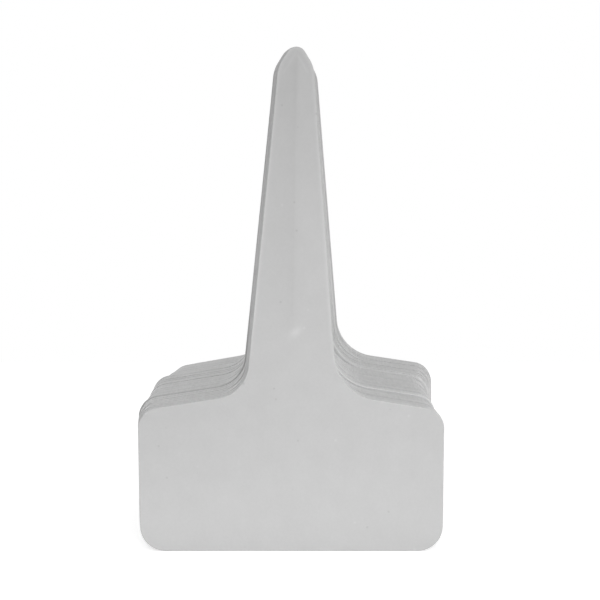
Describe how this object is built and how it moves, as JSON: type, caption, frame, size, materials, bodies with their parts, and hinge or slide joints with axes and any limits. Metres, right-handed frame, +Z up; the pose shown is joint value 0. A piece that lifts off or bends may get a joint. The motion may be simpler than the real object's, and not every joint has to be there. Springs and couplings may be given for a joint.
{
  "type": "plant label stakes",
  "caption": "Standing pack of loose T-shaped plastic plant labels, each a rounded writing head on a tapered, ribbed and pointed stake that draws up out of the pack.",
  "frame": {"origin": "under the middle of the pack, on the surface that the labels' long straight edges stand on", "axes": "+X across the heads, +Y from the front label to the rear one, +Z up to the stake tips"},
  "size_m": [0.0634, 0.046, 0.0987],
  "materials": {
    "label_plastic": "matte grey polypropylene sheet with a fine grain, cut edges a little paler"
  },
  "bodies": {
    "label_01": {"label_01": "label_plastic"},
    "label_02": {"label_02": "label_plastic"},
    "label_03": {"label_03": "label_plastic"},
    "label_04": {"label_04": "label_plastic"},
    "label_05": {"label_05": "label_plastic"},
    "label_06": {"label_06": "label_plastic"},
    "label_07": {"label_07": "label_plastic"},
    "label_08": {"label_08": "label_plastic"},
    "label_09": {"label_09": "label_plastic"},
    "label_10": {"label_10": "label_plastic"},
    "label_11": {"label_11": "label_plastic"},
    "label_12": {"label_12": "label_plastic"},
    "label_13": {"label_13": "label_plastic"},
    "label_14": {"label_14": "label_plastic"},
    "label_15": {"label_15": "label_plastic"},
    "label_16": {"label_16": "label_plastic"},
    "label_17": {"label_17": "label_plastic"},
    "label_18": {"label_18": "label_plastic"},
    "label_19": {"label_19": "label_plastic"},
    "label_20": {"label_20": "label_plastic"},
    "label_21": {"label_21": "label_plastic"},
    "label_22": {"label_22": "label_plastic"},
    "label_23": {"label_23": "label_plastic"},
    "label_24": {"label_24": "label_plastic"},
    "label_25": {"label_25": "label_plastic"},
    "label_26": {"label_26": "label_plastic"},
    "label_27": {"label_27": "label_plastic"},
    "label_28": {"label_28": "label_plastic"},
    "label_29": {"label_29": "label_plastic"},
    "label_30": {"label_30": "label_plastic"},
    "label_31": {"label_31": "label_plastic"},
    "label_32": {"label_32": "label_plastic"},
    "label_33": {"label_33": "label_plastic"}
  },
  "joints": [
    {"name": "label_01_draw", "type": "slide", "parent": "label_16", "child": "label_01", "axis": [0, 0, 1], "range_m": [0, 0.105]},
    {"name": "label_02_draw", "type": "slide", "parent": "label_16", "child": "label_02", "axis": [0, 0, 1], "range_m": [0, 0.105]},
    {"name": "label_03_draw", "type": "slide", "parent": "label_16", "child": "label_03", "axis": [0, 0, 1], "range_m": [0, 0.105]},
    {"name": "label_04_draw", "type": "slide", "parent": "label_16", "child": "label_04", "axis": [0, 0, 1], "range_m": [0, 0.105]},
    {"name": "label_05_draw", "type": "slide", "parent": "label_16", "child": "label_05", "axis": [0, 0, 1], "range_m": [0, 0.105]},
    {"name": "label_06_draw", "type": "slide", "parent": "label_16", "child": "label_06", "axis": [0, 0, 1], "range_m": [0, 0.105]},
    {"name": "label_07_draw", "type": "slide", "parent": "label_16", "child": "label_07", "axis": [0, 0, 1], "range_m": [0, 0.105]},
    {"name": "label_08_draw", "type": "slide", "parent": "label_16", "child": "label_08", "axis": [0, 0, 1], "range_m": [0, 0.105]},
    {"name": "label_09_draw", "type": "slide", "parent": "label_16", "child": "label_09", "axis": [0, 0, 1], "range_m": [0, 0.105]},
    {"name": "label_10_draw", "type": "slide", "parent": "label_16", "child": "label_10", "axis": [0, 0, 1], "range_m": [0, 0.105]},
    {"name": "label_11_draw", "type": "slide", "parent": "label_16", "child": "label_11", "axis": [0, 0, 1], "range_m": [0, 0.105]},
    {"name": "label_12_draw", "type": "slide", "parent": "label_16", "child": "label_12", "axis": [0, 0, 1], "range_m": [0, 0.105]},
    {"name": "label_13_draw", "type": "slide", "parent": "label_16", "child": "label_13", "axis": [0, 0, 1], "range_m": [0, 0.105]},
    {"name": "label_14_draw", "type": "slide", "parent": "label_16", "child": "label_14", "axis": [0, 0, 1], "range_m": [0, 0.105]},
    {"name": "label_15_draw", "type": "slide", "parent": "label_16", "child": "label_15", "axis": [0, 0, 1], "range_m": [0, 0.105]},
    {"name": "label_17_draw", "type": "slide", "parent": "label_16", "child": "label_17", "axis": [0, 0, 1], "range_m": [0, 0.105]},
    {"name": "label_18_draw", "type": "slide", "parent": "label_16", "child": "label_18", "axis": [0, 0, 1], "range_m": [0, 0.105]},
    {"name": "label_19_draw", "type": "slide", "parent": "label_16", "child": "label_19", "axis": [0, 0, 1], "range_m": [0, 0.105]},
    {"name": "label_20_draw", "type": "slide", "parent": "label_16", "child": "label_20", "axis": [0, 0, 1], "range_m": [0, 0.105]},
    {"name": "label_21_draw", "type": "slide", "parent": "label_16", "child": "label_21", "axis": [0, 0, 1], "range_m": [0, 0.105]},
    {"name": "label_22_draw", "type": "slide", "parent": "label_16", "child": "label_22", "axis": [0, 0, 1], "range_m": [0, 0.105]},
    {"name": "label_23_draw", "type": "slide", "parent": "label_16", "child": "label_23", "axis": [0, 0, 1], "range_m": [0, 0.105]},
    {"name": "label_24_draw", "type": "slide", "parent": "label_16", "child": "label_24", "axis": [0, 0, 1], "range_m": [0, 0.105]},
    {"name": "label_25_draw", "type": "slide", "parent": "label_16", "child": "label_25", "axis": [0, 0, 1], "range_m": [0, 0.105]},
    {"name": "label_26_draw", "type": "slide", "parent": "label_16", "child": "label_26", "axis": [0, 0, 1], "range_m": [0, 0.105]},
    {"name": "label_27_draw", "type": "slide", "parent": "label_16", "child": "label_27", "axis": [0, 0, 1], "range_m": [0, 0.105]},
    {"name": "label_28_draw", "type": "slide", "parent": "label_16", "child": "label_28", "axis": [0, 0, 1], "range_m": [0, 0.105]},
    {"name": "label_29_draw", "type": "slide", "parent": "label_16", "child": "label_29", "axis": [0, 0, 1], "range_m": [0, 0.105]},
    {"name": "label_30_draw", "type": "slide", "parent": "label_16", "child": "label_30", "axis": [0, 0, 1], "range_m": [0, 0.105]},
    {"name": "label_31_draw", "type": "slide", "parent": "label_16", "child": "label_31", "axis": [0, 0, 1], "range_m": [0, 0.105]},
    {"name": "label_32_draw", "type": "slide", "parent": "label_16", "child": "label_32", "axis": [0, 0, 1], "range_m": [0, 0.105]},
    {"name": "label_33_draw", "type": "slide", "parent": "label_16", "child": "label_33", "axis": [0, 0, 1], "range_m": [0, 0.105]}
  ]
}
